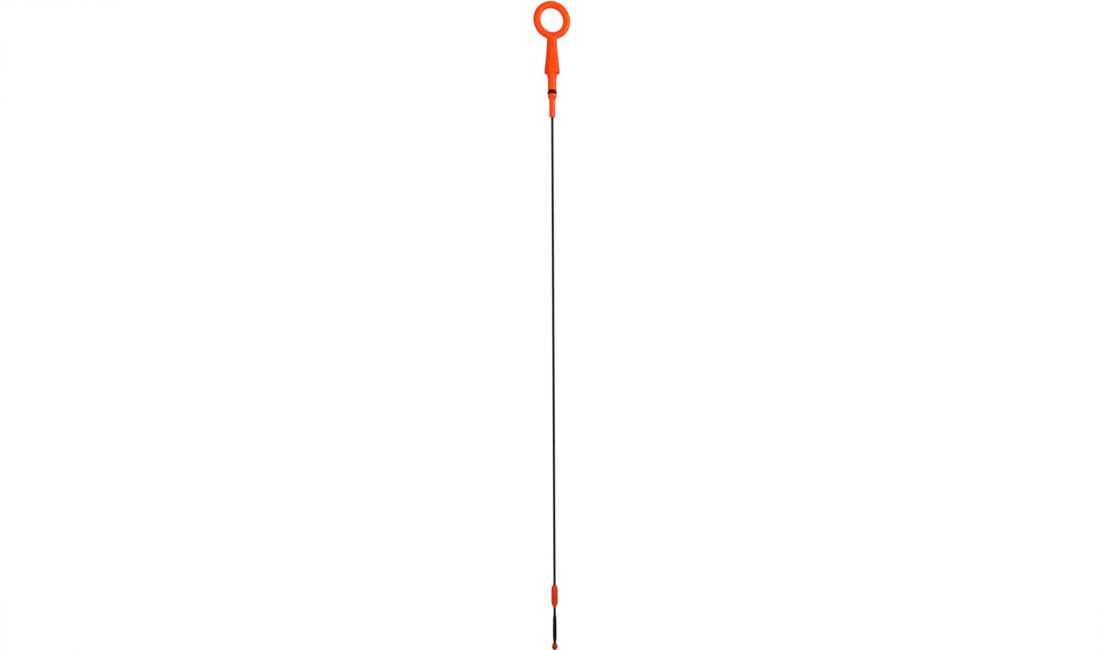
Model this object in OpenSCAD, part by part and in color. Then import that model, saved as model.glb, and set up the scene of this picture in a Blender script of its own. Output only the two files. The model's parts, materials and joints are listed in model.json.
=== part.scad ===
// Engine oil dipstick: a moulded handle with a finger ring, a seal on its neck, and a long
// coated wire that carries a stop bead, a flattened reading blade and a moulded tip.
// The stick is drawn along its own Z axis, with the seat face at 0 and the ring above it, and
// is then laid down: it rests on the handle's lip and near its far end, and is rolled over
// until the ring's side is just off the surface.

/* [Ring] */
// Radius of the ring's centreline
ring_r = 14.7; // [11:0.1:20]
// Radius of the ring's round bar
ring_bar_r = 3.42; // [2.6:0.02:4]
// Reach of the blend that fills the corner between the grip and the ring's arms
blend = 1.7; // [1:0.1:4]

/* [Grip] */
// Distance from the seat face to the ring's centre
grip_l = 50.5; // [42:0.5:70]
// Width of the grip where it meets the ring
grip_top_w = 9.3; // [7.6:0.1:11]
// Diameter of the lip, into which the grip's foot runs out
lip_d = 14.6; // [13:0.1:17]
// Height of the lip
lip_h = 3; // [1.5:0.1:4]
// Rounding of the lip's lower edge
lip_round = 0.35; // [0.2:0.05:0.7]
// Share by which the grip's side hangs in like a trumpet's, from a straight cone at 0
grip_hollow = 0.45; // [0:0.05:0.7]

/* [Neck] */
// Diameter of the lead-in cone at the seat face
cone_d = 10.7; // [9:0.1:11.4]
// Length of the lead-in cone
cone_l = 5.2; // [4:0.1:10]
// Diameter of the neck
neck_d = 8.1; // [7.4:0.05:8.6]
// Length of the neck's straight part, from the cone to the seal groove
neck_l = 10.9; // [6:0.1:18]

/* [Seal] */
// Thickness of the seal ring's round section
seal_section = 1.78; // [1.5:0.02:2]
// Diameter of the groove's floor, on which the seal ring is stretched
groove_d = 6.1; // [5.6:0.02:6.4]
// Width of the groove
groove_w = 3.4; // [2.2:0.05:4]

/* [Nose] */
// Diameter of the land that guides the handle in its tube
land_d = 8.3; // [7.8:0.05:8.8]
// Length of the land's straight part
land_l = 2; // [1.5:0.1:4]
// Rounding between the groove and the land
land_round = 0.9; // [0.5:0.05:1]
// Length of the taper from the land to the nose
lead_l = 3.4; // [2:0.1:5]
// Diameter of the nose
nose_d = 5.7; // [4.8:0.05:6]
// Length of the nose, with its rounded end
nose_l = 16.2; // [10:0.1:30]
// Rounding of the nose's end
nose_round = 1.5; // [0.6:0.05:1.6]

/* [Wire] */
// Diameter of the coated wire
wire_d = 2.4; // [2:0.05:2.6]
// Length of wire between the nose and the stop bead
wire_l = 443.9; // [200:1:800]
// Depth of the wire above the seat face, inside the grip
anchor_depth = 22; // [16:0.5:26]
// Length of the flat that is pressed on the wire's end, to hold it in the grip
anchor_l = 7; // [4:0.5:10]
// Width of that flat
anchor_w = 3.4; // [2.8:0.1:4]
// Thickness of that flat
anchor_t = 1.5; // [1:0.1:1.8]

/* [Stop bead] */
// Diameter of the stop bead
bead_d = 6.15; // [5:0.05:7]
// Length of the stop bead
bead_l = 20.8; // [14:0.1:32]
// Length of the bead's tapered upper end
bead_top_l = 3.8; // [2:0.1:6]
// Length of the bead's tapered lower end
bead_cone_l = 4.2; // [2.5:0.1:6]
// Wall of the bead at its ends, round the wire
bead_wall = 0.35; // [0.25:0.05:0.6]

/* [Blade] */
// Length of round wire between the stop bead and the blade
shank_l = 7.8; // [3:0.1:20]
// Length of the flattened blade
blade_l = 25.2; // [16:0.1:40]
// Width of the blade at its widest
blade_w = 3.9; // [3.2:0.05:4.4]
// Thickness of the blade
blade_t = 1.45; // [1:0.05:1.7]
// Length of round wire between the blade and the tip
tail_l = 1.8; // [1:0.1:6]

/* [Tip] */
// Diameter of the moulded tip
tip_d = 5.4; // [4.6:0.05:6]
// Length of the moulded tip, without its nub
tip_l = 5.9; // [5.5:0.1:10]
// Length of the tip's tapered top
tip_top_l = 2.75; // [2:0.05:3.2]
// Length of the tip's tapered lower end
tip_low_l = 1.85; // [1.2:0.05:2.2]
// Thickness of the tip's floor, under the wire's end
tip_floor = 1.1; // [0.8:0.1:2]
// Diameter of the nub under the tip
nub_d = 2.5; // [1.8:0.05:2.6]
// Length of the nub
nub_l = 1.6; // [1:0.1:3]

/* [Hidden] */
$fn = 96;

ORANGE = "#fa4a16";
BEAD_ORANGE = "#cf3806";
TIP_ORANGE = "#a32a08";
BLACK = "#191613";
SEAL_BLACK = "#0d0d0d";

// Radii that the pieces share
ring_out_r = ring_r + ring_bar_r;
grip_top_r = grip_top_w / 2;
lip_r = lip_d / 2;
cone_r = cone_d / 2;
neck_r = neck_d / 2;
groove_r = groove_d / 2;
seal_r = groove_r + seal_section / 2;
land_r = land_d / 2;
nose_r = nose_d / 2;
wire_r = wire_d / 2;
bead_r = bead_d / 2;
tip_r = tip_d / 2;
nub_r = nub_d / 2;

// Least wall that a rounding leaves beside it
least_wall = 0.15;
nose_edge_r = min(nose_round, nose_r - wire_r - least_wall);
land_edge_r = min(land_round, land_r - groove_r - least_wall);

// Stations along the stick, from the grip's top down to the nub's end
grip_top = grip_l - ring_out_r;
groove_top = -cone_l - neck_l;
groove_low = groove_top - groove_w;
land_top = groove_low - land_edge_r;
land_low = land_top - land_l;
nose_top = land_low - lead_l;
nose_end = nose_top - nose_l;
bead_top = nose_end - wire_l;
bead_cone = bead_top - bead_l + bead_cone_l;
bead_end = bead_top - bead_l;
blade_top = bead_end - shank_l;
blade_end = blade_top - blade_l;
tip_top = blade_end - tail_l;
tip_end = tip_top - tip_l;
stick_end = tip_end - nub_l;

// How the stick lies. The lip touches the surface, and so does the lower end of the bead or of
// the tip, whichever is reached first. The stick is then rolled over until the side of its
// ring is this far off the surface.
ring_clear = 0.23;
lip_touch = lip_round;
tip_touch = tip_end + tip_low_l;

// Pitch at which the lip and a round of radius r at height z both touch the surface
function pitch_on(r, z) = acos(r / norm([lip_r, lip_touch - z])) - atan2(lip_touch - z, lip_r);

rest_pitch = min(pitch_on(bead_r, bead_cone), pitch_on(tip_r, tip_touch));
seat_height = lip_r * cos(rest_pitch) - lip_touch * sin(rest_pitch);
ring_height = seat_height + grip_l * sin(rest_pitch);
ring_dip = (ring_height - ring_bar_r - ring_clear) / ring_r;
rest_roll = asin(sqrt(pow(ring_dip, 2) - pow(sin(rest_pitch), 2)) / cos(rest_pitch));

// Half-way point of the lying stick, which goes over the origin
far_end = grip_l * cos(rest_pitch) + ring_bar_r
        + ring_r * sqrt(1 - pow(cos(rest_roll) * sin(rest_pitch), 2));
near_end = stick_end * cos(rest_pitch);
middle = (far_end + near_end) / 2;

// Points of an arc of radius r about [x, z], from angle a to angle b
function arc(x, z, r, a, b, steps = 8) =
    [for (i = [0:steps]) let (t = a + (b - a) * i / steps) [x + r * cos(t), z + r * sin(t)]];

// A bulging taper between two radii, which leaves the first point along the stick
function taper(r0, z0, r1, z1, steps = 10) =
    [for (i = [0:steps]) let (t = i / steps) [r0 + (r1 - r0) * pow(t, 1.65), z0 + (z1 - z0) * t]];

function backwards(points) = [for (i = [len(points) - 1:-1:0]) points[i]];

// An S-shaped step between two radii, which starts and ends along the stick
function ease(r0, z0, r1, z1, steps = 10) =
    [for (i = [0:steps]) let (t = i / steps)
        [r0 + (r1 - r0) * (1 - cos(180 * t)) / 2, z0 + (z1 - z0) * t]];

// One loop of a loft: an oval of half width w and half depth d at height z, which is an
// ellipse at power 2 and squarer above it
function oval(w, d, z, power = 2, sides = 40) =
    [for (i = [0:sides - 1]) let (t = 360 * i / sides, c = cos(t), s = sin(t))
        [sign(c) * w * pow(abs(c), 2 / power), sign(s) * d * pow(abs(s), 2 / power), z]];

// A solid skinned over such loops, which are given from the lowest to the highest
module loft(loops) {
    n = len(loops[0]);
    rows = len(loops);
    skin = [for (j = [0:rows - 2], i = [0:n - 1])
        let (a = j * n + i, b = j * n + (i + 1) % n)
        each [[a, a + n, b + n], [a, b + n, b]]];
    floor = [for (i = [0:n - 1]) i];
    top = [for (i = [n - 1:-1:0]) (rows - 1) * n + i];
    polyhedron([for (loop = loops) each loop], concat(skin, [floor, top]));
}

// Lays the upright stick down, with its ring towards +Y and the ring's +X side low
module laid() {
    translate([0, -middle, seat_height])
        rotate([rest_pitch, 0, 0])
            rotate([-90, 0, 0])
                rotate([0, 0, rest_roll])
                    children();
}

// The wire's top end as the handle is moulded round it: round wire, then a pressed flat
module anchor() {
    translate([0, 0, nose_end])
        cylinder(r = wire_r, h = anchor_depth - anchor_l - nose_end);
    translate([0, 0, anchor_depth - anchor_l])
        intersection() {
            cylinder(d = anchor_w, h = anchor_l);
            translate([-anchor_w, -anchor_t / 2, 0])
                cube([2 * anchor_w, anchor_t, anchor_l]);
        }
}

// The grip ends in a dome inside the ring's bar, whose top stays just under the hole
dome_cover = 0.4;
dome_h = 2 * ring_bar_r - dome_cover;

// Radius of the grip at height z. Its side is a shallow parabola from the lip to the top, and
// the dome over it is half an ellipse.
function grip_r(z) = z > grip_top
    ? grip_top_r * sqrt(max(0, 1 - pow((z - grip_top) / dome_h, 2)))
    : let (t = (grip_top - z) / (grip_top - lip_h))
        grip_top_r + (lip_r - grip_top_r) * ((1 - grip_hollow) * t + grip_hollow * t * t);

// Grip, lip, neck, seal groove, land and nose, turned as one profile
module stem() {
    grip_steps = 12;
    rotate_extrude()
        polygon(concat(
            [[0, nose_end]],
            arc(nose_r - nose_edge_r, nose_end + nose_edge_r, nose_edge_r, -90, 0),
            ease(nose_r, nose_top, land_r, land_low),
            arc(land_r - land_edge_r, land_top, land_edge_r, 0, 90),
            [[groove_r, groove_low], [groove_r, groove_top]],
            [[neck_r, groove_top], [neck_r, -cone_l], [cone_r, 0]],
            arc(lip_r - lip_round, lip_round, lip_round, -90, 0, 6),
            [for (i = [0:grip_steps])
                let (z = lip_h + (grip_top - lip_h) * i / grip_steps) [grip_r(z), z]],
            [for (t = [10:10:90]) let (z = grip_top + dome_h * sin(t)) [grip_r(z), z]]
        ));
}

// The finger ring, in the plane of the stick's X and Z axes
module ring() {
    translate([0, 0, grip_l])
        rotate([90, 0, 0])
            rotate_extrude()
                translate([ring_r, 0])
                    circle(r = ring_bar_r);
}

// The blend between the grip and the ring. A point's distances from the grip and from the bar
// are joined by a smooth minimum, which fills the corner where both are small, and each level
// of the loft is where that minimum is zero. Away from the corner the loft lies a little inside
// the two shapes. The fill fades out towards the hole, where the dome sinks into the bar.
module yoke() {
    inset = 0.15;
    sides = 48;
    rows = 16;
    low = grip_top - 1.2 * blend;
    high = grip_l - ring_r + 0.6 * ring_bar_r;

    function off_grip(m, z) = m - grip_r(z);
    function off_bar(x, y, z) = norm([norm([x, z - grip_l]) - ring_r, y]) - ring_bar_r;
    function reach(z) = blend * (1 - pow(max(0, (z - grip_top) / (high - grip_top)), 2)) + inset;
    function joined(a, b, k) = min(a, b) - pow(max(k - abs(a - b), 0), 2) / (4 * k);
    // Halves the span between m and n until it closes on the surface in direction t
    function skin(t, z, m, n, halvings = 16) =
        halvings == 0 ? m
        : let (
            middle_r = (m + n) / 2,
            bar = off_bar(middle_r * cos(t), middle_r * sin(t), z),
            inside = joined(off_grip(middle_r, z), bar, reach(z)) < -inset
        ) skin(t, z, inside ? middle_r : m, inside ? n : middle_r, halvings - 1);

    loft([for (j = [0:rows]) let (z = low + (high - low) * j / rows)
        [for (i = [0:sides - 1]) let (t = 360 * i / sides, m = skin(t, z, 0, ring_out_r))
            [m * cos(t), m * sin(t), z]]]);
}

module handle() {
    color(ORANGE)
        difference() {
            union() {
                stem();
                ring();
                yoke();
            }
            anchor();
        }
}

// The seal ring, stretched on the groove's floor and pushed down against its lower wall
module o_ring() {
    color(SEAL_BLACK)
        translate([0, 0, groove_low + seal_section / 2])
            rotate_extrude()
                translate([seal_r, 0])
                    circle(d = seal_section);
}

// The flattened length of wire on which the oil level is read. Its sections swell from the
// round wire to a flat oval and return, with steep shoulders at both ends.
module blade() {
    steps = 30;
    wire_fit = 0.995;
    function swell(u) = sqrt(1 - pow(abs(2 * u - 1), 5)) * (1 - 0.33 * pow(1 - u, 2));
    loft([for (i = [0:steps])
        let (u = (1 - cos(180 * i / steps)) / 2, f = swell(1 - u))
        oval(
            wire_fit * wire_r + (blade_w / 2 - wire_r) * f,
            wire_fit * wire_r + (blade_t / 2 - wire_r) * f,
            blade_end + blade_l * u,
            2 + 0.3 * f)]);
}

module rod() {
    color(BLACK) {
        anchor();
        translate([0, 0, blade_top])
            cylinder(r = wire_r, h = nose_end - blade_top);
        blade();
        translate([0, 0, tip_end + tip_floor])
            cylinder(r = wire_r, h = blade_end - tip_end - tip_floor);
    }
}

module stop_bead() {
    end_r = wire_r + bead_wall;
    color(BEAD_ORANGE)
        rotate_extrude()
            polygon(concat(
                [[wire_r, bead_end], [wire_r, bead_top]],
                backwards(taper(bead_r, bead_top - bead_top_l, end_r, bead_top)),
                taper(bead_r, bead_cone, end_r, bead_end)
            ));
}

module tip() {
    collar_r = wire_r + 0.3;
    wire_end = tip_end + tip_floor;
    nub_edge_r = 0.35;
    color(TIP_ORANGE)
        rotate_extrude()
            polygon(concat(
                [[0, stick_end], [0, wire_end], [wire_r, wire_end], [wire_r, tip_top]],
                backwards(taper(tip_r, tip_top - tip_top_l, collar_r, tip_top)),
                taper(tip_r, tip_touch, nub_r, tip_end),
                arc(nub_r - nub_edge_r, stick_end + nub_edge_r, nub_edge_r, 0, -90, 4)
            ));
}

laid() handle();
laid() o_ring();
laid() rod();
laid() stop_bead();
laid() tip();
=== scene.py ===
import json

import bpy
import numpy as np
from mathutils import Matrix, Vector


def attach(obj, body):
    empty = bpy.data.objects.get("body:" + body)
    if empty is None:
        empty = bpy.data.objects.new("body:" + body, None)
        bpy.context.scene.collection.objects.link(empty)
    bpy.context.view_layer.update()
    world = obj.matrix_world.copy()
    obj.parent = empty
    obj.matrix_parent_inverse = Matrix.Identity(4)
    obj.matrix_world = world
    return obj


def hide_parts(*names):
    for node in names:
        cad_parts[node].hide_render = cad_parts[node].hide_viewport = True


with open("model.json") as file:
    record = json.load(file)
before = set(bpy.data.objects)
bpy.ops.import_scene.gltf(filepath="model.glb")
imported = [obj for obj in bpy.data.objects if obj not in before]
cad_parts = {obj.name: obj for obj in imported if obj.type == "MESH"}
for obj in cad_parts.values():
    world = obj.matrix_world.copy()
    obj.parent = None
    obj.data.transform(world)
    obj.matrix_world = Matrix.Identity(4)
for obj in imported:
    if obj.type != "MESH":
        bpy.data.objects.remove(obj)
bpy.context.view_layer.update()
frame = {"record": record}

scene = bpy.context.scene
scene.view_settings.view_transform = "Standard"


# The camera looks squarely down on the stick's middle from a little under a metre, so that it
# sees the handle from the tip's side and the bead from the handle's. It is turned by a quarter
# of a degree, so that the stick leans by as much.

lens = bpy.data.cameras.new("camera")
lens.lens = 33.05
lens.sensor_width = 36
camera = bpy.data.objects.new("camera", lens)
camera.location = (-0.00316, -0.00691, 0.96477)
camera.rotation_euler = np.radians((0.4777, 0, -0.2737))
scene.collection.objects.link(camera)
scene.camera = camera


# The handle is one injection moulding of glossy orange plastic, closed round the wire's end:
# a finger ring, a trumpet-shaped grip with a lip that sits on the dipstick tube, and a neck
# with a groove for the seal, a guiding land and a nose.

# Each piece is worked out upright, in millimetres, with Z up the stick from the seat face, X
# across the finger ring and Y through its hole.
ring_height, ring_r, bar_r = 50.5, 14.7, 3.42
grip_top, grip_top_r, grip_hollow = 32.38, 4.65, 0.45
dome_h = 2 * bar_r - 0.4
lip_r, lip_h, lip_round = 7.3, 3.0, 0.35
fill, fill_top, least_fill = 1.7, 37.85, 0.02
blend_start = 29.6
cone_r, cone_end, cone_round, cone_foot_round = 5.35, -5.2, 2.5, 0.15
neck_r, neck_edge_round = 4.05, 0.1
groove_r, groove_top, groove_end, groove_round = 3.05, -16.1, -19.5, 0.12
land_r, land_end, land_round = 4.15, -22.4, 0.9
nose_r, nose_top, nose_end, nose_round = 2.85, -25.8, -42, 1.45
bore_r, bore_top, bore_rim_round = 1.2, -38, 0.08
orange_deep, orange_pale = (0.93, 0.045, 0.0024, 1), (0.97, 0.056, 0.0036, 1)


def grip_radius(z):
    """Radius of the grip at height z: a shallow parabola from the lip to the top, and over the
    top half an ellipse that sinks into the ring's bar."""
    down = np.clip((grip_top - z) / (grip_top - lip_h), 0, None)
    side = (1 - grip_hollow) * down + grip_hollow * down ** 2
    dome = np.sqrt(np.clip(1 - ((z - grip_top) / dome_h) ** 2, 0, None))
    return np.where(z > grip_top, grip_top_r * dome, grip_top_r + (lip_r - grip_top_r) * side)


def off_handle(points):
    """How far points are off the handle near the ring: the smooth minimum of the distances from
    the grip and from the ring's bar, which is their lesser less the square of what their
    difference lacks of the fill, over four times the fill. The fill fades out at the hole."""
    x, y, z = np.moveaxis(points, -1, 0)
    grip = np.hypot(x, y) - grip_radius(z)
    bar = np.hypot(np.hypot(x, z - ring_height) - ring_r, y) - bar_r
    rise = np.clip((z - grip_top) / (fill_top - grip_top), 0, 1)
    reach = fill * (1 - rise ** 2) + least_fill
    return np.minimum(grip, bar) - np.clip(reach - abs(grip - bar), 0, None) ** 2 / (4 * reach)


def settled(points, steps, nudge=0.001, least_slope=0.3):
    """Moves points onto the handle, each step by its distance down the slope of that distance,
    which is taken from a nudge along each axis."""
    for step in range(steps):
        nudges = nudge * np.eye(3)
        slope = np.stack([off_handle(points + n) - off_handle(points - n) for n in nudges], -1)
        slope /= 2 * nudge
        steepness = np.clip((slope ** 2).sum(-1, keepdims=True), least_slope, None)
        points = points - off_handle(points)[..., None] * slope / steepness
    return points


# the ring, as a grid round its centre and round its bar, with an opening where the grip comes
ring_steps, bar_steps = 144, 64
half_wide, half_round = 11, 24
column = (np.arange(ring_steps) + ring_steps // 2) % ring_steps - ring_steps // 2
row = (np.arange(bar_steps) + bar_steps // 2) % bar_steps - bar_steps // 2
column, row = np.meshgrid(column, row, indexing="ij")
swing = np.radians(-90) + column * 2 * np.pi / ring_steps
roll = row * 2 * np.pi / bar_steps
out = ring_r + bar_r * np.cos(roll)
ring_points = np.stack(
    [out * np.cos(swing), bar_r * np.sin(roll), ring_height + out * np.sin(swing)], -1)
covered = (abs(column) < half_wide) & (abs(row) < half_round)
opening = (column >= -half_wide) & (column < half_wide) & (row >= -half_round) & (row < half_round)
ring_numbers = np.where(covered, -1, np.cumsum(~covered).reshape(covered.shape) - 1)
ring_faces = np.stack([
    ring_numbers, np.roll(ring_numbers, -1, 1),
    np.roll(np.roll(ring_numbers, -1, 0), -1, 1), np.roll(ring_numbers, -1, 0)], -1)[~opening]

# the opening's edge, from the +X side of the ring round by +Y
side = np.arange(-half_round, half_round)
front = np.arange(half_wide, -half_wide, -1)
edge_column = np.concatenate([0 * side + half_wide, front, 0 * side - half_wide, -front])
edge_row = np.concatenate([side, 0 * front + half_round, -side, 0 * front - half_round])
edge_column, edge_row = np.roll([edge_column, edge_row], -half_round, axis=1)
edge_numbers = ring_numbers[edge_column, edge_row]
around = len(edge_numbers)


def rounded(corners, steps=7, support=0.05):
    """A profile of straight runs between corners, each given as radius, height and rounding.
    An arc tangent to both runs replaces each corner that has a rounding, and one more point
    stands just outside each end of the arc, so that the runs shade flat."""
    corners = np.array(corners, float)
    profile = [corners[0, :2]]
    for before, corner, after in zip(corners[:-2], corners[1:-1], corners[2:]):
        come = (corner - before)[:2] / np.hypot(*(corner - before)[:2])
        go = (after - corner)[:2] / np.hypot(*(after - corner)[:2])
        turn = np.arccos(np.clip(come @ go, -1, 1))
        if corner[2] == 0 or turn < 0.01:
            profile.append(corner[:2])
            continue
        reach = corner[2] * np.tan(turn / 2)
        outward = come - go
        centre = corner[:2] - outward / np.hypot(*outward) * corner[2] / np.cos(turn / 2)
        start = (corner[:2] - reach * come - centre) / corner[2]
        end = (corner[:2] + reach * go - centre) / corner[2]
        share = np.linspace(0, 1, steps)[:, None]
        arc = (np.sin((1 - share) * turn) * start + np.sin(share * turn) * end) / np.sin(turn)
        profile.append(corner[:2] - (reach + support) * come)
        profile.extend(centre + corner[2] * arc)
        profile.append(corner[:2] + (reach + support) * go)
    return np.array(profile + [corners[-1, :2]])


def turned(profile, around):
    """Points of a surface of revolution: each point of the profile, as radius and height, is
    carried round the stick's axis in equal steps."""
    angle = np.linspace(0, 2 * np.pi, around, endpoint=False)
    radius, height = profile[:, :1], profile[:, 1:]
    return np.stack([radius * np.cos(angle), radius * np.sin(angle), height + 0 * angle], -1)


# the stem, turned from the bottom of the wire's bore out and up to just under the blend; from
# the nose to the land its radius grows as half a wave of a cosine
way = np.linspace(0, 1, 12)[1:-1]
lead_in = np.stack([nose_r + (land_r - nose_r) * (1 - np.cos(np.pi * way)) / 2,
                    nose_top + (land_end - nose_top) * way], -1)
grip_z = np.linspace(lip_h, blend_start, 60)[1:]
stem_profile = np.concatenate([
    rounded([(bore_r, bore_top, 0), (bore_r, nose_end, bore_rim_round),
             (nose_r, nose_end, nose_round), (nose_r, nose_top, 0)]),
    lead_in,
    rounded([(land_r, land_end, 0), (land_r, groove_end, land_round),
             (groove_r, groove_end, groove_round), (groove_r, groove_top, groove_round),
             (neck_r, groove_top, neck_edge_round), (neck_r, cone_end, cone_round),
             (cone_r, 0, cone_foot_round), (lip_r, 0, lip_round), (lip_r, lip_h, 0)]),
    np.stack([grip_radius(grip_z), grip_z], -1)])
stem_points = turned(stem_profile, around)

# the blend, drawn out from the stem's last loop to the opening's edge: over and over each point
# moves halfway to the mean of its four neighbours and is settled on the handle
blend_rows, relax_steps, settle_steps = 30, 60, 12
share = np.linspace(0, 1, blend_rows)[:, None, None]
blend = (1 - share) * stem_points[-1] + share * ring_points[edge_column, edge_row]
for relaxing in range(relax_steps):
    beside = np.roll(blend, 1, 1)[1:-1] + np.roll(blend, -1, 1)[1:-1] + blend[2:] + blend[:-2]
    blend[1:-1] = settled((blend[1:-1] + beside / 4) / 2, 1)
blend[1:-1] = settled(blend[1:-1], settle_steps)

first_stem = int((~covered).sum())
stem_numbers = first_stem + np.arange(stem_points.shape[0] * around).reshape(-1, around)
first_blend = first_stem + stem_numbers.size
blend_numbers = first_blend + np.arange((len(blend) - 2) * around).reshape(-1, around)
bore_floor = first_blend + blend_numbers.size
bore_fan = np.stack([0 * edge_numbers + bore_floor, np.roll(stem_numbers[0], -1),
                     stem_numbers[0]], -1)


def grid_faces(numbers, close_rows=False):
    """The four-sided faces of a grid of point numbers. Each row is a loop that closes on itself,
    and the last row joins the first where close_rows is set."""
    below = numbers if close_rows else numbers[:-1]
    above = np.roll(numbers, -1, axis=0) if close_rows else numbers[1:]
    after = np.roll(below, -1, axis=1), np.roll(above, -1, axis=1)
    return np.stack([below, after[0], after[1], above], -1).reshape(-1, 4)


def lofted(loops, low_pole, high_pole):
    """Points and faces of a closed surface: loops of points, each anticlockwise seen from the
    high end, are joined from the lowest up, and a fan closes either end on its pole."""
    numbers = np.arange(loops.shape[0] * loops.shape[1]).reshape(loops.shape[:2])
    low, high = 0 * numbers[0] + numbers.size, 0 * numbers[0] + numbers.size + 1
    points = np.concatenate([loops.reshape(-1, 3), [low_pole, high_pole]])
    return points, [grid_faces(numbers),
                    np.stack([low, np.roll(numbers[0], -1), numbers[0]], -1),
                    np.stack([high, numbers[-1], np.roll(numbers[-1], -1)], -1)]


# a raised drop, the common sign for oil, with a dished middle, on the grip's front over the lip:
# each loop is a share of its outline, and stands proud of the grip by so much
mark_z, mark_wide, mark_high = 6.5, 4.6, 5.8
mark_sunk, mark_dish, mark_taper = 0.6, 0.09, 1.3
way = np.linspace(2 * np.pi, 0, 56, endpoint=False)
rim_x = np.sin(way) * np.sin(way / 2) ** mark_taper
rim_x *= 0.5 * mark_wide / rim_x.max()
rim_z = 0.5 * mark_high * np.cos(way)
shrink, proud = np.array([
    (0.5, -mark_sunk), (0.98, -0.5), (1, -0.1), (1, 0.17), (0.98, 0.29), (0.94, 0.38),
    (0.89, 0.42), (0.82, 0.41), (0.75, 0.34), (0.69, 0.22), (0.63, 0.12), (0.45, mark_dish),
    (0.2, mark_dish)]).T[..., None]
mark_height = mark_z + shrink * rim_z
mark_swing = shrink * rim_x / grip_radius(mark_z)
mark_r = grip_radius(mark_height) + proud
mark_points, mark_faces = lofted(
    np.stack([mark_r * np.sin(mark_swing), -mark_r * np.cos(mark_swing), mark_height], -1),
    (0, -grip_radius(mark_z) + mark_sunk, mark_z), (0, -grip_radius(mark_z) - mark_dish, mark_z))

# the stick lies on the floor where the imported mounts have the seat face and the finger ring
mounts = {mount["name"]: mount for mount in frame["record"]["mounts"]}
up_stick = -Vector(mounts["seat"]["axis"]).normalized()
through_hole = -Vector(mounts["finger_hole"]["axis"]).normalized()
across_ring = through_hole.cross(up_stick).normalized()
through_hole = up_stick.cross(across_ring)
stick_turn = Matrix((across_ring, through_hole, up_stick)).transposed()
seat_point = Vector(mounts["finger_hole"]["pos_m"]) - 0.001 * ring_height * up_stick


def laid(points):
    """Turns points from the upright stick's axes to the lying one's, and from millimetres to
    metres: the seat point plus the turned point over a thousand."""
    return np.array(seat_point) + 0.001 * points.reshape(-1, 3) @ np.array(stick_turn).T


def moulded(name, points, faces, slot, node):
    """Makes a piece from points and lists of faces, and lays it down in place of a CAD node."""
    mesh = bpy.data.meshes.new(name)
    mesh.from_pydata(laid(points).tolist(), [], [face for part in faces for face in part.tolist()])
    mesh.shade_smooth()
    piece = bpy.data.objects.new(name, mesh)
    scene.collection.objects.link(piece)
    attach(piece, "root")
    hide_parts(node)
    return piece


handle_points = np.concatenate([
    ring_points[~covered], stem_points.reshape(-1, 3), blend[1:-1].reshape(-1, 3),
    [[0, 0, bore_top]], mark_points])
handle = moulded(
    "handle_moulding", handle_points,
    [ring_faces, grid_faces(stem_numbers),
     grid_faces(np.vstack([stem_numbers[-1:], blend_numbers, edge_numbers[None]])), bore_fan,
     *(part + bore_floor + 1 for part in mark_faces)],
    "handle_plastic", "handle")


class Field:
    """What one output of a material's node gives. Arithmetic on it adds Math nodes, and node()
    adds a node of any other kind."""

    def __init__(self, tree, socket):
        self.tree = tree
        self.socket = socket

    def node(self, kind, settings, values, output=0):
        """Adds a node: its settings are set first, and then each socket is given its value or
        its link."""
        node = self.tree.nodes.new(kind)
        for name, value in settings.items():
            setattr(node, name, value)
        for name, value in values.items():
            if isinstance(value, Field):
                self.tree.links.new(value.socket, node.inputs[name])
            else:
                node.inputs[name].default_value = value
        return Field(self.tree, node.outputs[output])

    def maths(self, operation, *values):
        """Adds a Math node on values or fields."""
        return self.node("ShaderNodeMath", {"operation": operation}, dict(enumerate(values)))

    def __add__(self, other):
        return self.maths("ADD", self, other)

    def __rsub__(self, other):
        return self.maths("SUBTRACT", other, self)

    def __mul__(self, other):
        return self.maths("MULTIPLY", self, other)

    def __truediv__(self, other):
        return self.maths("DIVIDE", self, other)

    def __abs__(self):
        return self.maths("ABSOLUTE", self)

    __radd__ = __add__
    __rmul__ = __mul__

    def within(self, reach):
        """1 where the field is 0, falling smoothly to 0 where it is as large as reach."""
        near = self.maths("MAXIMUM", 1 - abs(self) / reach, 0)
        return near * near * (3 - 2 * near)

    def blend(self, low, high):
        """A colour between two, by this field as the share of the second."""
        return self.node("ShaderNodeMix", {"data_type": "RGBA"}, {0: self, 6: low, 7: high}, 2)

    def noise(self, scale, detail):
        """Noise over this field of places, which runs from 0 to 1."""
        sockets = {"Vector": self, "Scale": scale, "Detail": detail}
        return self.node("ShaderNodeTexNoise", {}, sockets)

    def stretched(self, x, y, z):
        """This field of places with each axis multiplied."""
        return self.node("ShaderNodeMapping", {}, {"Vector": self, "Scale": (x, y, z)})

    def parting(self, reach):
        """1 on the plane where the halves of a mould meet, and 0 past the reach, over this
        field of places. The plane is the finger ring's."""
        return self.node("ShaderNodeSeparateXYZ", {}, {0: self}, 1).within(reach)


def finish(name, piece, **constants):
    """Gives a piece a new material with constant values on its shader. Returns the shader, and
    the place on the upright stick in millimetres."""
    material = bpy.data.materials.new(name)
    material.use_nodes = True
    tree = material.node_tree
    shader = tree.nodes["Principled BSDF"]
    for socket, value in constants.items():
        shader.inputs[socket.replace("_", " ")].default_value = value
    lying = Field(tree, tree.nodes.new("ShaderNodeTexCoord").outputs["Object"])
    place = lying.node("ShaderNodeMapping", {"vector_type": "TEXTURE"}, {
        "Vector": lying, "Location": seat_point, "Rotation": stick_turn.to_euler(),
        "Scale": (0.001, 0.001, 0.001)})
    piece.data.materials.append(material)
    return shader, place


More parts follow.
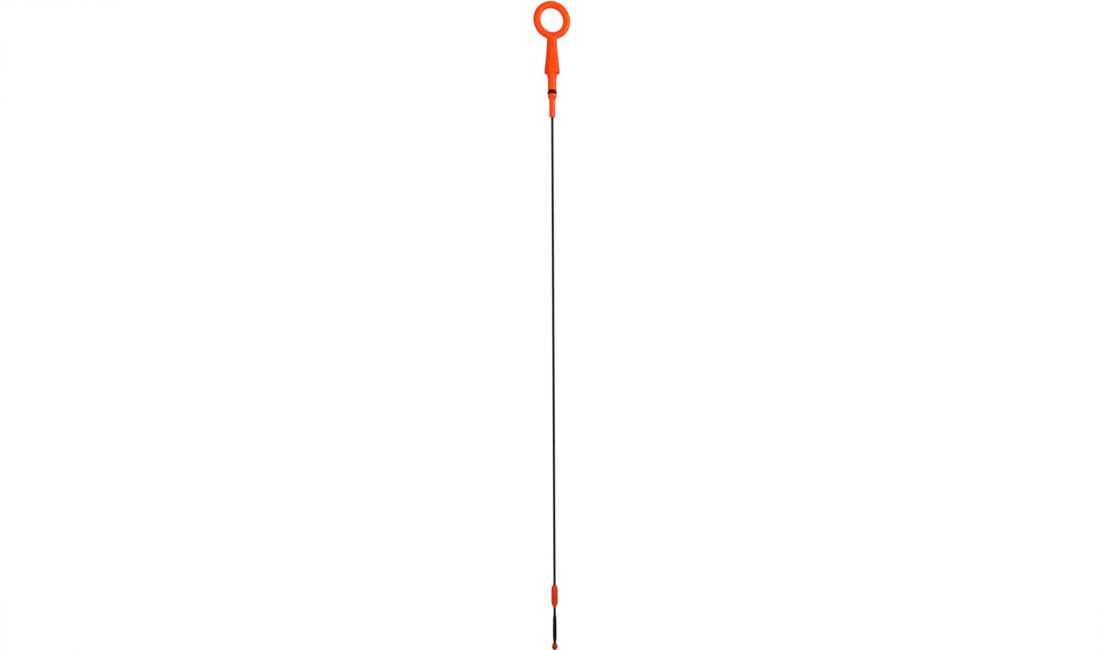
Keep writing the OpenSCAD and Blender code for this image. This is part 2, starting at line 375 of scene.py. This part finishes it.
def wire_up(shader, relief, **fields):
    """Links fields to a shader's sockets, and a relief in millimetres to its bump."""
    for name, field in fields.items():
        field.tree.links.new(field.socket, shader.inputs[name.replace("_", " ")])
    bump = relief.node("ShaderNodeBump", {}, {"Height": relief, "Distance": 0.001})
    relief.tree.links.new(bump.socket, shader.inputs["Normal"])


# glossy orange, a little uneven in tone and gloss, with the fine line where the mould parts; the
# plastic is slightly clear, so its shine is tinted
shader, place = finish("handle_orange", handle, Specular_IOR_Level=0.4,
                       Specular_Tint=(1, 0.6, 0.2, 1))
cloud = place.noise(scale=0.11, detail=3)
grain = place.noise(scale=3.2, detail=4)
wire_up(
    shader,
    relief=0.02 * place.parting(0.09) + 0.0015 * grain + 0.03 * cloud,
    Base_Color=cloud.blend(orange_deep, orange_pale),
    Roughness=0.24 + 0.06 * grain + 0.06 * cloud)


# The seal is a rubber ring with a round section of 1.78 mm, stretched into the lower end of the
# neck's groove. A near black collar in one piece with it fills the rest of the groove, level with
# the neck. The collar is painted shade: a dark fill where the groove's gap would lie in shadow.
# Where the two plates of its mould met, a hair of flash runs round the outside.

seal_section_r, seal_steps = 0.89, 120
seal_r, seal_z = groove_r + seal_section_r, groove_end + seal_section_r
flash_h, flash_spread = 0.018, 0.07
# the collar is painted shade, a near black fill standing for the shadow in the groove above the
# seal
shade_collar_r, shade_collar_top, shade_collar_round = neck_r - 0.07, groove_top - 0.04, 0.12
hole_r, hole_end, hole_round = groove_r + 0.01, seal_z + 0.3, 0.05
# the second rubber colour is warmer: painted orange light, as if thrown on the rubber by the
# plastic
rubber_dark, rubber_painted_glow = (0.036, 0.0011, 0.0003, 1), (0.055, 0.0020, 0.0006, 1)

# the section's arc, from the hole round by the outside, is raised at the flash by a bell curve
section_turn = np.radians(np.linspace(-180, 80, 40))
flash = flash_h * np.exp(-(section_turn / flash_spread) ** 2)
section_r = seal_section_r - flash_h + flash
seal_bulge = np.stack([seal_r + section_r * np.cos(section_turn),
                       seal_z + section_r * np.sin(section_turn)], -1)
# the profile runs on from the seal round the collar, which paints the groove's shade
shade_collar_profile = rounded([
    (*seal_bulge[-1], 0), (shade_collar_r, seal_bulge[-1, 1], 0.06), (shade_collar_r, shade_collar_top, shade_collar_round),
    (hole_r, shade_collar_top, hole_round), (hole_r, hole_end, 0)])[1:]
seal_and_shade_collar_profile = np.concatenate([seal_bulge, shade_collar_profile])
seal_numbers = np.arange(len(seal_and_shade_collar_profile) * seal_steps).reshape(-1, seal_steps)
seal = moulded("seal_ring_and_shade_collar", turned(seal_and_shade_collar_profile, seal_steps),
               [grid_faces(seal_numbers, close_rows=True)], "seal_rubber", "o_ring")

# near black rubber with a thin film of oil on it; in patches picked by the film's noise the colour
# turns warmer, a painted reflection of the orange plastic round it
shader, place = finish("seal_rubber", seal, Specular_IOR_Level=0.1)
oil_film_and_painted_glow = place.noise(scale=0.9, detail=3)
grit = place.noise(scale=9, detail=3)
wire_up(
    shader,
    relief=0.003 * grit + 0.01 * oil_film_and_painted_glow,
    Base_Color=oil_film_and_painted_glow.blend(rubber_dark, rubber_painted_glow),
    Roughness=0.34 + 0.22 * oil_film_and_painted_glow)


# The stick itself is one steel wire with a thin black coating. Near its lower end it is pressed
# between dies to a blade, and fine ridges across the blade hold the oil film for reading.

wire_r, wire_steps = bore_r, 48
wire_top, wire_end = -38.5, -546.3
blade_top, blade_end = -514.5, -539.7
blade_half_w, blade_half_t = 1.95, 0.725
blade_blunt, blade_taper, blade_square = 5, 0.33, 0.3
ridge_pitch, ridge_depth, ridge_reach, ridge_fade = 1.7, 0.08, 0.8, 0.15
coating_dark, coating_rubbed = (0.001, 0.0008, 0.0006, 1), (0.005, 0.004, 0.003, 1)

# the half width and half thickness go from the wire's radius to the blade's by a swell, which is
# the root of one less a high power of the way from the blade's middle, and less at its top end
wire_z = np.concatenate([
    np.linspace(wire_end, blade_end - 0.4, 8), np.linspace(blade_end, blade_top, 300),
    np.linspace(blade_top + 0.5, wire_top, 60)])[:, None]
rise = np.clip((wire_z - blade_end) / (blade_top - blade_end), 0, 1)
off_middle = abs(2 * rise - 1)
swell = np.sqrt(1 - off_middle ** blade_blunt) * (1 - blade_taper * rise ** 2)
half_w = wire_r + (blade_half_w - wire_r) * swell
half_t = wire_r + (blade_half_t - wire_r) * swell

# the section is an ellipse with powers a little over 2 at the blade; waves along it, on both of
# the blade's flats, are the ridges
power = 2 / (2 + blade_square * swell)
angle = np.linspace(0, 2 * np.pi, wire_steps, endpoint=False)
cosine, sine = np.cos(angle), np.sin(angle)
wave = 0.5 - 0.5 * np.cos(2 * np.pi * (wire_z - blade_end) / ridge_pitch)
reading = np.clip((ridge_reach - off_middle) / ridge_fade, 0, 1)
flat = np.clip(abs(sine) * 1.6 - 0.5, 0, 1)
wire_loops = np.stack([
    half_w * np.sign(cosine) * abs(cosine) ** power,
    (half_t * abs(sine) ** power - ridge_depth * reading * wave * flat) * np.sign(sine),
    wire_z + 0 * angle], -1)
wire = moulded("stick_wire", *lofted(wire_loops, (0, 0, wire_end), (0, 0, wire_top)),
               "coated_wire", "rod")

# satin black coating with draw lines along the wire and a few places rubbed browner
shader, place = finish("black_coating", wire, Specular_IOR_Level=0.2)
draw_lines = place.stretched(1, 1, 0.03).noise(scale=4, detail=3)
rub = place.stretched(1, 1, 0.25).noise(scale=0.35, detail=4)
speck = place.noise(scale=6, detail=2)
wire_up(
    shader,
    relief=0.004 * draw_lines + 0.002 * speck,
    Base_Color=rub.blend(coating_dark, coating_rubbed),
    Roughness=0.42 + 0.2 * draw_lines)


# The stop bead is moulded on the wire above the blade, in a deeper orange. Both its ends run
# out in a bulging taper, so that it slips into the tube and out of it.

bead_r, bead_end_r, bead_steps = 3.075, 1.55, 72
bead_top, bead_end = -485.9, -506.7
bead_top_l, bead_cone_l = 3.8, 4.2
bead_deep, bead_pale = (0.54, 0.023, 0.0006, 1), (0.66, 0.034, 0.0010, 1)


def tapered(wide, wide_z, narrow, narrow_z, bulge=1.65):
    """A profile from a wide radius to a narrow one, which leaves the wide one along the stick:
    what the radius loses grows as the share of the way to the power of the bulge."""
    way = np.linspace(0, 1, 20)
    return np.stack([wide - (wide - narrow) * way ** bulge, wide_z + (narrow_z - wide_z) * way], -1)


bead_side = np.linspace(bead_end + bead_cone_l, bead_top - bead_top_l, 24)[1:-1]
bead_profile = np.concatenate([
    tapered(bead_r, bead_end + bead_cone_l, bead_end_r, bead_end)[::-1],
    np.stack([bead_r + 0 * bead_side, bead_side], -1),
    tapered(bead_r, bead_top - bead_top_l, bead_end_r, bead_top),
    [(wire_r, bead_top), (wire_r, bead_end)]])
bead_numbers = np.arange(len(bead_profile) * bead_steps).reshape(-1, bead_steps)
bead = moulded("stop_bead_moulding", turned(bead_profile, bead_steps),
               [grid_faces(bead_numbers, close_rows=True)], "bead_plastic", "stop_bead")

# deep orange, a little uneven, with the mould's parting line along both sides
shader, place = finish("bead_orange", bead, Specular_IOR_Level=0.3,
                       Specular_Tint=(1, 0.5, 0.15, 1))
cloud = place.noise(scale=0.3, detail=3)
grain = place.noise(scale=4, detail=3)
wire_up(
    shader,
    relief=0.02 * place.parting(0.08) + 0.002 * grain + 0.03 * cloud,
    Base_Color=cloud.blend(bead_deep, bead_pale),
    Roughness=0.3 + 0.12 * grain)


# The tip is a small dark orange bulb moulded on the wire's end. It keeps the blade clear of the
# tube's wall and the sump's floor, and ends in a nub where the plastic was fed in.

tip_r, tip_collar_r, tip_steps = 2.7, 1.5, 64
tip_top, tip_end, tip_top_l, tip_low_l = -541.5, -547.4, 2.75, 1.85
nub_r, nub_round, stick_end = 1.25, 0.35, -549.0
middle_r = 0.3
tip_deep, tip_pale = (0.27, 0.015, 0.0010, 1), (0.40, 0.025, 0.002, 1)

tip_profile = np.concatenate([
    rounded([(middle_r, stick_end, 0), (nub_r, stick_end, nub_round), (nub_r, tip_end - 0.1, 0)]),
    tapered(tip_r, tip_end + tip_low_l, nub_r, tip_end)[::-1],
    tapered(tip_r, tip_top - tip_top_l, tip_collar_r, tip_top),
    [(wire_r, tip_top), (wire_r, wire_end), (middle_r, wire_end)]])
tip = moulded(
    "tip_moulding", *lofted(turned(tip_profile, tip_steps), (0, 0, stick_end), (0, 0, wire_end)),
    "tip_plastic", "tip")

# dark orange with a soft gloss, a touch browner where oil has stained it
shader, place = finish("tip_orange", tip, Specular_IOR_Level=0.35,
                       Specular_Tint=(1, 0.5, 0.2, 1))
stain = place.noise(scale=0.5, detail=3)
grain = place.noise(scale=4, detail=3)
wire_up(
    shader,
    relief=0.02 * place.parting(0.08) + 0.004 * grain,
    Base_Color=stain.blend(tip_deep, tip_pale),
    Roughness=0.3 + 0.14 * grain)


# The floor is a plain white sheet. The camera sees it lit to white with a faint share of the
# stick's shadow. It throws little light back, so that the sides of the stick stay deep in colour.

floor_half = 3
sheet_seen, sheet_dim = (0.97, 0.97, 0.97, 1), (0.15, 0.15, 0.15, 1)
sheet_glow, gloss_share = 0.93, 0.08


def seen_by(tree):
    """Whether a spot is seen by the camera, in a shine or through a clear part, each 1 or 0."""
    path = tree.nodes.new("ShaderNodeLightPath")
    return [Field(tree, path.outputs[f"Is {ray} Ray"])
            for ray in ("Camera", "Glossy", "Transmission")]


floor_mesh = bpy.data.meshes.new("floor")
floor_mesh.from_pydata([(-floor_half, -floor_half, 0), (floor_half, -floor_half, 0),
                        (floor_half, floor_half, 0), (-floor_half, floor_half, 0)],
                       [], [(0, 1, 2, 3)])
floor = bpy.data.objects.new("floor", floor_mesh)
scene.collection.objects.link(floor)
sheet = bpy.data.materials.new("white_sheet")
sheet.use_nodes = True
sheet.node_tree.nodes.remove(sheet.node_tree.nodes["Principled BSDF"])
seen, mirrored, through = seen_by(sheet.node_tree)
paper = seen.node("ShaderNodeBsdfDiffuse", {}, {"Color": seen.blend(sheet_dim, sheet_seen)})
glow = seen.node("ShaderNodeEmission", {}, {"Color": (1, 1, 1, 1), "Strength": 1.0})
lit = sheet_glow * (seen + through) + gloss_share * mirrored
shown = seen.node("ShaderNodeMixShader", {}, {0: lit, 1: paper, 2: glow})
sheet.node_tree.links.new(shown.socket, sheet.node_tree.nodes["Material Output"].inputs[0])
floor_mesh.materials.append(sheet)


# The light is a soft panel overhead and a fainter one past the tip, both kept out of the gloss,
# a softbox low to the right and towards the ring, and a dim surround, which looks white.

dim = 0.05


def softbox(name, size, place, radiance, mirrored=True):
    """A rectangular lamp at a place, turned to the middle of the stick. Its power is its
    radiance times its area times pi."""
    lamp = bpy.data.lights.new(name, "AREA")
    lamp.shape = "RECTANGLE"
    lamp.size, lamp.size_y = size
    lamp.energy = radiance * size[0] * size[1] * np.pi
    box = bpy.data.objects.new(name, lamp)
    box.location = place
    box.rotation_euler = Vector(place).to_track_quat("Z", "Y").to_euler()
    box.visible_glossy = mirrored
    scene.collection.objects.link(box)


softbox("overhead_panel", size=(1.5, 1.5), place=(-0.25, 0.05, 1.6), radiance=3.75, mirrored=False)
softbox("fill_panel", size=(1.5, 1.5), place=(-0.6, -2.6, 1.4), radiance=2.6, mirrored=False)
softbox("key_light", size=(0.6, 0.6), place=(1.05, 0.4, 0.65), radiance=10)
surround = bpy.data.worlds.new("surround")
surround.use_nodes = True
backdrop = surround.node_tree.nodes["Background"]
seen, mirrored, through = seen_by(surround.node_tree)
strength = dim + (1 - dim) * (seen + through) + gloss_share * mirrored
surround.node_tree.links.new(strength.socket, backdrop.inputs["Strength"])
backdrop.inputs["Color"].default_value = (1, 1, 1, 1)
scene.world = surround
